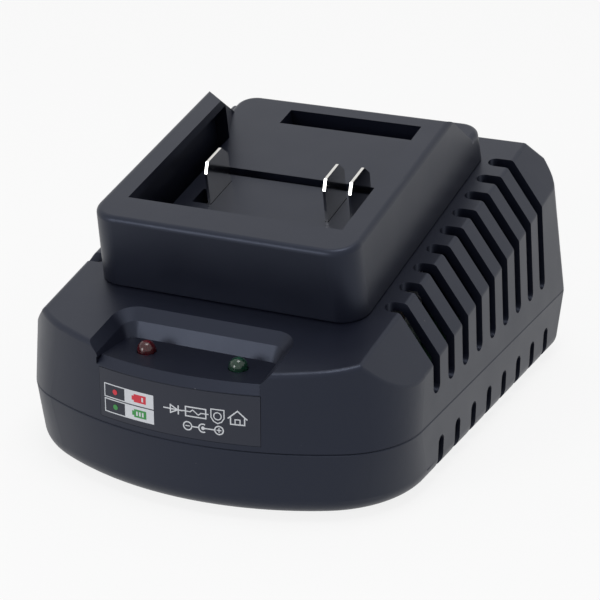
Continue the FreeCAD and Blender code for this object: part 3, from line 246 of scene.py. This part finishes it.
moulded_plastic("case_plastic", CHARCOAL)
moulded_plastic("dock_plastic", DOCK_CHARCOAL)
printed_film("label_film", (0.0160, 0.0160, 0.0205))
lens("red_lens", (0.20, 0.012, 0.022))
lens("green_lens", (0.02, 0.13, 0.07))
metal("contact_metal", (0.74, 0.73, 0.70), 0.13)
metal("screw_steel", (0.55, 0.55, 0.56), 0.32)
metal("winding_copper", (0.72, 0.33, 0.16), 0.35)
metal("sink_aluminium", (0.75, 0.75, 0.76), 0.35)
plain_plastic("foot_rubber", (0.012, 0.012, 0.012), 0.75)
plain_plastic("circuit_board", (0.01, 0.045, 0.022), 0.4)
plain_plastic("black_plastic", (0.02, 0.02, 0.022), 0.4)
plain_plastic("capacitor_sleeve", (0.02, 0.03, 0.09), 0.25)
plain_plastic("ferrite", (0.05, 0.05, 0.052), 0.6)
plain_plastic("header_plastic", (0.62, 0.60, 0.52), 0.45)
plain_plastic("red_insulation", (0.38, 0.02, 0.02), 0.4)
plain_plastic("yellow_insulation", (0.52, 0.38, 0.04), 0.4)
plain_plastic("black_insulation", (0.02, 0.02, 0.02), 0.4)

for row in frame["record"]["subparts"]:
    slots = nodes[row["node"]].data.materials
    slots.clear()
    slots.append(bpy.data.materials[row["material_slot"]])

# Printed signs of the label, laid on the bowed front wall: s runs along the bow from the middle,
# v up from the bottom of the label, both in millimetres

BOW_RADIUS = 94.0
PRINT_THICKNESS = 0.04
PRINT_CLEARANCE = 0.01
STEP = 1.5
THIN = 0.28
LINE = 0.34
INK_ROUGHNESS = 0.5
INK_WHITE = (0.60, 0.62, 0.66)
INK_RED = (0.55, 0.02, 0.04)
INK_GREEN = (0.03, 0.24, 0.05)

label_low, label_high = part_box("status_label")
LABEL_BOTTOM = label_low[2] / MM
FRONT = label_low[1] / MM


def on_bow(s, v, lift):
    """Place on the label, lifted off the wall."""
    angle = s / BOW_RADIUS
    reach = BOW_RADIUS + lift
    return Vector((reach * math.sin(angle), FRONT + BOW_RADIUS - reach * math.cos(angle),
                   LABEL_BOTTOM + v)) * MM


def mesh_data(name, mesh, material):
    """Mesh with its faces turned outward and one material."""
    bmesh.ops.recalc_face_normals(mesh, faces=mesh.faces)
    data = bpy.data.meshes.new(name)
    mesh.to_mesh(data)
    mesh.free()
    data.materials.append(material)
    return data


class Print:
    """One colour of ink: flat shapes gathered into a single thin mesh."""

    def __init__(self, name, colour, layer=0):
        self.name = name
        self.mesh = bmesh.new()
        self.base = PRINT_CLEARANCE + layer * PRINT_THICKNESS
        self.material = plain_plastic(name + "_ink", colour, INK_ROUGHNESS)

    def shape(self, outline):
        """Thin solid over a convex outline."""
        top = [self.mesh.verts.new(on_bow(s, v, self.base + PRINT_THICKNESS)) for s, v in outline]
        low = [self.mesh.verts.new(on_bow(s, v, self.base)) for s, v in outline]
        self.mesh.faces.new(top)
        self.mesh.faces.new(low[::-1])
        for index in range(len(outline)):
            following = (index + 1) % len(outline)
            self.mesh.faces.new([top[following], top[index], low[index], low[following]])

    def rectangle(self, s0, v0, s1, v1):
        """Rectangle in columns narrow enough to follow the bow."""
        count = max(1, math.ceil((s1 - s0) / STEP))
        width = (s1 - s0) / count
        for index in range(count):
            left = s0 + index * width
            self.shape([(left, v0), (left + width, v0), (left + width, v1), (left, v1)])

    def line(self, points, width, closed=False):
        """Line of even width through points, with square joints."""
        following = points[1:] + points[:1] if closed else points[1:]
        for (s0, v0), (s1, v1) in zip(points, following):
            length = math.hypot(s1 - s0, v1 - v0)
            along = ((s1 - s0) / length, (v1 - v0) / length)
            across = (-along[1] * width / 2, along[0] * width / 2)
            count = max(1, math.ceil(length / STEP))
            run = (length + width) / count
            for index in range(count):
                a = index * run - width / 2
                b = a + run
                self.shape([(s0 + along[0] * a - across[0], v0 + along[1] * a - across[1]),
                            (s0 + along[0] * b - across[0], v0 + along[1] * b - across[1]),
                            (s0 + along[0] * b + across[0], v0 + along[1] * b + across[1]),
                            (s0 + along[0] * a + across[0], v0 + along[1] * a + across[1])])

    def disc(self, s, v, radius, count=24):
        angles = [math.tau * k / count for k in range(count)]
        self.shape([(s + radius * math.cos(a), v + radius * math.sin(a)) for a in angles])

    def ring(self, s, v, radius, width, start=0.0, end=360.0, count=28):
        """Ring, or an arc of it between two angles in degrees."""
        angles = [math.radians(start + (end - start) * k / count) for k in range(count + 1)]
        inner = radius - width / 2
        outer = radius + width / 2
        for a, b in zip(angles, angles[1:]):
            self.shape([(s + inner * math.cos(a), v + inner * math.sin(a)),
                        (s + outer * math.cos(a), v + outer * math.sin(a)),
                        (s + outer * math.cos(b), v + outer * math.sin(b)),
                        (s + inner * math.cos(b), v + inner * math.sin(b))])

    def finish(self):
        piece = add_object(self.name, mesh_data(self.name, self.mesh, self.material))
        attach(piece, "root")


# Table of two rows that say what each lamp means: a dot in a dark cell, a battery in a pale cell

TABLE_LEFT = -21.1
TABLE_SPLIT = -14.3
TABLE_RIGHT = -5.4
ROW_HEIGHT = 3.7
ROW_LOWS = {"red": 6.1, "green": 1.8}
DOT_PLACE = -17.6
DOT_RADIUS = 0.75
BATTERY_PLACE = -9.9
BATTERY_HALF_TALL = 1.12
BATTERY_TIP = -2.2
BATTERY_SHOULDER = -1.55
BATTERY_END = 2.2
TIP_SHARE = 0.55
MARK_WIDE = 0.5
MARK_HALF_TALL = 0.6
RED_MARKS = (0.9,)
GREEN_MARKS = (-0.9, 0.0, 0.9)


def table_cells(ink):
    for low in ROW_LOWS.values():
        high = low + ROW_HEIGHT
        dark_cell = [(TABLE_LEFT, low), (TABLE_LEFT, high), (TABLE_SPLIT, high), (TABLE_SPLIT, low)]
        ink.line(dark_cell, THIN, True)
        ink.rectangle(TABLE_SPLIT, low - THIN / 2, TABLE_RIGHT, high + THIN / 2)


def battery(ink, marks_ink, marks, s, v):
    """Battery sign lying on its side, its terminal to the left, with pale marks on it."""
    tip_half_tall = BATTERY_HALF_TALL * TIP_SHARE
    ink.rectangle(s + BATTERY_SHOULDER, v - BATTERY_HALF_TALL, s + BATTERY_END, v + BATTERY_HALF_TALL)
    ink.rectangle(s + BATTERY_TIP, v - tip_half_tall, s + BATTERY_SHOULDER, v + tip_half_tall)
    for low in marks:
        marks_ink.rectangle(s + low, v - MARK_HALF_TALL, s + low + MARK_WIDE, v + MARK_HALF_TALL)


# Plain signs beside the table

RECTIFIER_MIDDLE = 7.4
RECTIFIER_HALF_TALL = 1.1
FUSE_MIDDLE = 7.5
FUSE_BOX = [(3.9, 6.2), (9.5, 6.2), (9.5, 8.8), (3.9, 8.8)]
FUSE_WIRE = [(5.2, 7.5), (5.9, 8.1), (7.4, 6.9), (8.2, 7.5)]
SHIELD = [(10.9, 9.2), (14.4, 9.2), (14.4, 6.9), (13.7, 5.8), (12.65, 5.3), (11.6, 5.8), (10.9, 6.9)]
HOUSE_WALLS = [(16.1, 7.4), (16.1, 5.6), (19.8, 5.6), (19.8, 7.4)]
HOUSE_ROOF = [(15.5, 7.25), (17.95, 9.4), (20.4, 7.25)]
HOUSE_DOOR = [(17.3, 5.7), (17.3, 7.0), (18.6, 7.0), (18.6, 5.7)]
PLUG_MIDDLE = 3.4
PLUG_RING = 1.15
MINUS_PLACE = 4.4
PLUG_PLACE = 8.65
PLUS_PLACE = 13.0
POLE_HALF = 0.5


def rectifier_sign(ink):
    """Arrow head against a bar, on a line."""
    low = RECTIFIER_MIDDLE - RECTIFIER_HALF_TALL
    high = RECTIFIER_MIDDLE + RECTIFIER_HALF_TALL
    ink.line([(-2.3, RECTIFIER_MIDDLE), (2.9, RECTIFIER_MIDDLE)], LINE)
    ink.line([(-0.4, high), (1.7, RECTIFIER_MIDDLE), (-0.4, low)], LINE, True)
    ink.line([(1.85, low), (1.85, high)], LINE)


def fuse_sign(ink):
    """Box with a wire through it."""
    ink.line(FUSE_BOX, LINE, True)
    ink.line([(3.2, FUSE_MIDDLE), (5.2, FUSE_MIDDLE)], THIN)
    ink.line([(8.2, FUSE_MIDDLE), (10.1, FUSE_MIDDLE)], THIN)
    ink.line(FUSE_WIRE, THIN)


def shield_sign(ink):
    ink.line(SHIELD, THIN, True)
    ink.ring(12.65, 7.35, 1.0, THIN)


def house_sign(ink):
    """House, for indoor use."""
    ink.line(HOUSE_WALLS, LINE)
    ink.line(HOUSE_ROOF, LINE)
    ink.line(HOUSE_DOOR, THIN)


def plug_sign(ink):
    """Polarity of a round plug: minus on its sleeve, plus at its middle."""
    ink.ring(MINUS_PLACE, PLUG_MIDDLE, PLUG_RING, LINE)
    ink.line([(MINUS_PLACE - POLE_HALF, PLUG_MIDDLE), (MINUS_PLACE + POLE_HALF, PLUG_MIDDLE)], THIN)
    ink.line([(5.7, PLUG_MIDDLE), (7.3, PLUG_MIDDLE)], LINE)
    ink.ring(PLUG_PLACE, PLUG_MIDDLE, PLUG_RING, LINE, 60.0, 300.0)
    ink.disc(PLUG_PLACE, PLUG_MIDDLE, 0.5)
    ink.line([(PLUG_PLACE, PLUG_MIDDLE), (11.7, PLUG_MIDDLE)], LINE)
    ink.ring(PLUS_PLACE, PLUG_MIDDLE, PLUG_RING, LINE)
    ink.line([(PLUS_PLACE - POLE_HALF, PLUG_MIDDLE), (PLUS_PLACE + POLE_HALF, PLUG_MIDDLE)], THIN)
    ink.line([(PLUS_PLACE, PLUG_MIDDLE - POLE_HALF), (PLUS_PLACE, PLUG_MIDDLE + POLE_HALF)], THIN)


ink_white = Print("label_white", INK_WHITE)
ink_red = Print("label_red", INK_RED, 1)
ink_green = Print("label_green", INK_GREEN, 1)
ink_marks = Print("label_marks", INK_WHITE, 2)
for draw in (table_cells, rectifier_sign, fuse_sign, shield_sign, house_sign, plug_sign):
    draw(ink_white)
for ink, row, marks in ((ink_red, "red", RED_MARKS), (ink_green, "green", GREEN_MARKS)):
    row_middle = ROW_LOWS[row] + ROW_HEIGHT / 2
    ink.disc(DOT_PLACE, row_middle, DOT_RADIUS)
    battery(ink, ink_marks, marks, BATTERY_PLACE, row_middle)
for ink in (ink_white, ink_red, ink_green, ink_marks):
    ink.finish()

# Metal cup and two legs that show inside each clear lamp, in millimetres from the cup's level.
# A ring is a height and a radius, a leg its left side, right side and top.

CUP_SIDES = 20
CUP_RINGS = ((0.0, 0.55), (0.25, 0.75), (0.25, 0.95), (-0.35, 0.8))
CUP_BELOW_TOP = 1.15
LEGS = ((-0.65, 0.10, -0.36), (0.30, 0.65, 0.1))
LEG_HALF_DEEP = 0.25
LEG_BOTTOM = -1.6
BOX_FACES = ((3, 2, 1, 0), (4, 5, 6, 7), (0, 1, 5, 4), (1, 2, 6, 5), (2, 3, 7, 6), (3, 0, 4, 7))


def lamp_frame(node):
    """Cup and legs of one lamp, as one mesh."""
    low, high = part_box(node)
    middle = [(a + b) / 2 / MM for a, b in zip(low, high)]
    level = high[2] / MM - CUP_BELOW_TOP
    mesh = bmesh.new()

    def corner(x, y, z):
        return mesh.verts.new(Vector((middle[0] + x, middle[1] + y, level + z)) * MM)

    angles = [math.tau * k / CUP_SIDES for k in range(CUP_SIDES)]
    rings = [[corner(radius * math.cos(a), radius * math.sin(a), height) for a in angles]
             for height, radius in CUP_RINGS]
    mesh.faces.new(rings[0])
    for ring, outer in zip(rings, rings[1:]):
        for k in range(CUP_SIDES):
            following = (k + 1) % CUP_SIDES
            mesh.faces.new([ring[k], ring[following], outer[following], outer[k]])
    mesh.faces.new(rings[-1][::-1])
    for left, right, top in LEGS:
        outline = ((left, -LEG_HALF_DEEP), (right, -LEG_HALF_DEEP),
                   (right, LEG_HALF_DEEP), (left, LEG_HALF_DEEP))
        leg = [corner(x, y, z) for z in (LEG_BOTTOM, top) for x, y in outline]
        for face in BOX_FACES:
            mesh.faces.new([leg[index] for index in face])
    name = node + "_frame"
    piece = add_object(name, mesh_data(name, mesh, bpy.data.materials["screw_steel"]))
    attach(piece, "root")


lamp_frame("red_indicator")
lamp_frame("green_indicator")

# Studio: SHADOW_SHARE is how much of the floor's own shading, with the shadow, is seen on white

FLOOR_SIZE = 6.0
FLOOR_COLOUR = (0.85, 0.85, 0.85, 1.0)
FLOOR_ROUGHNESS = 0.9
SHADOW_SHARE = 0.16
WHITE = (1.0, 1.0, 1.0, 1.0)
AMBIENT = 0.5
LIGHT_SIZE = 0.5
LIGHT_POWER = 4.0


def seen_directly(tree):
    """One for rays from the camera, from a reflection or through glass."""
    rays = tree.nodes.new("ShaderNodeLightPath")
    total = rays.outputs["Is Camera Ray"]
    for name in ("Is Glossy Ray", "Is Transmission Ray"):
        node = tree.nodes.new("ShaderNodeMath")
        node.operation = "MAXIMUM"
        tree.links.new(total, node.inputs[0])
        tree.links.new(rays.outputs[name], node.inputs[1])
        total = node.outputs[0]
    return total


def make_floor():
    """Pale floor, white to the camera and to reflections, that keeps the object's shadow."""
    mesh = bpy.data.meshes.new("floor")
    half = FLOOR_SIZE / 2
    corners = [(-half, -half, 0), (half, -half, 0), (half, half, 0), (-half, half, 0)]
    mesh.from_pydata(corners, [], [(0, 1, 2, 3)])
    floor = add_object("floor", mesh)
    paint = Paint("floor_paint")
    paint.set(Base_Color=FLOOR_COLOUR, Roughness=FLOOR_ROUGHNESS)
    tree = paint.tree
    glow = paint.node("ShaderNodeEmission")
    share = paint.times(seen_directly(tree), 1.0 - SHADOW_SHARE)
    blend = paint.node("ShaderNodeMixShader", {0: share, 1: paint.shader.outputs[0], 2: glow.outputs[0]})
    tree.links.new(blend.outputs[0], tree.nodes["Material Output"].inputs["Surface"])
    mesh.materials.append(paint.material)


def area_light(name, place, target):
    data = bpy.data.lights.new(name, "AREA")
    data.shape = "DISK"
    data.size = LIGHT_SIZE
    data.energy = LIGHT_POWER
    light = add_object(name, data)
    light.location = place
    light.rotation_euler = (Vector(target) - Vector(place)).to_track_quat("-Z", "Y").to_euler()


def make_world():
    """White where it is seen, softer where it lights."""
    world = bpy.data.worlds.new("studio")
    world.use_nodes = True
    tree = world.node_tree
    background = tree.nodes["Background"]
    background.inputs["Color"].default_value = WHITE
    strength = tree.nodes.new("ShaderNodeMapRange")
    strength.inputs["To Min"].default_value = AMBIENT
    strength.inputs["To Max"].default_value = 1.0
    tree.links.new(seen_directly(tree), strength.inputs["Value"])
    tree.links.new(strength.outputs["Result"], background.inputs["Strength"])
    bpy.context.scene.world = world


make_camera()
make_floor()
make_world()
area_light("top_light", (0.1, -0.1, 1.1), (0, 0, 0.04))
area_light("front_light", (-0.5, -1.1, 0.35), (0, 0, 0.02))
bpy.context.scene.view_settings.view_transform = "Standard"
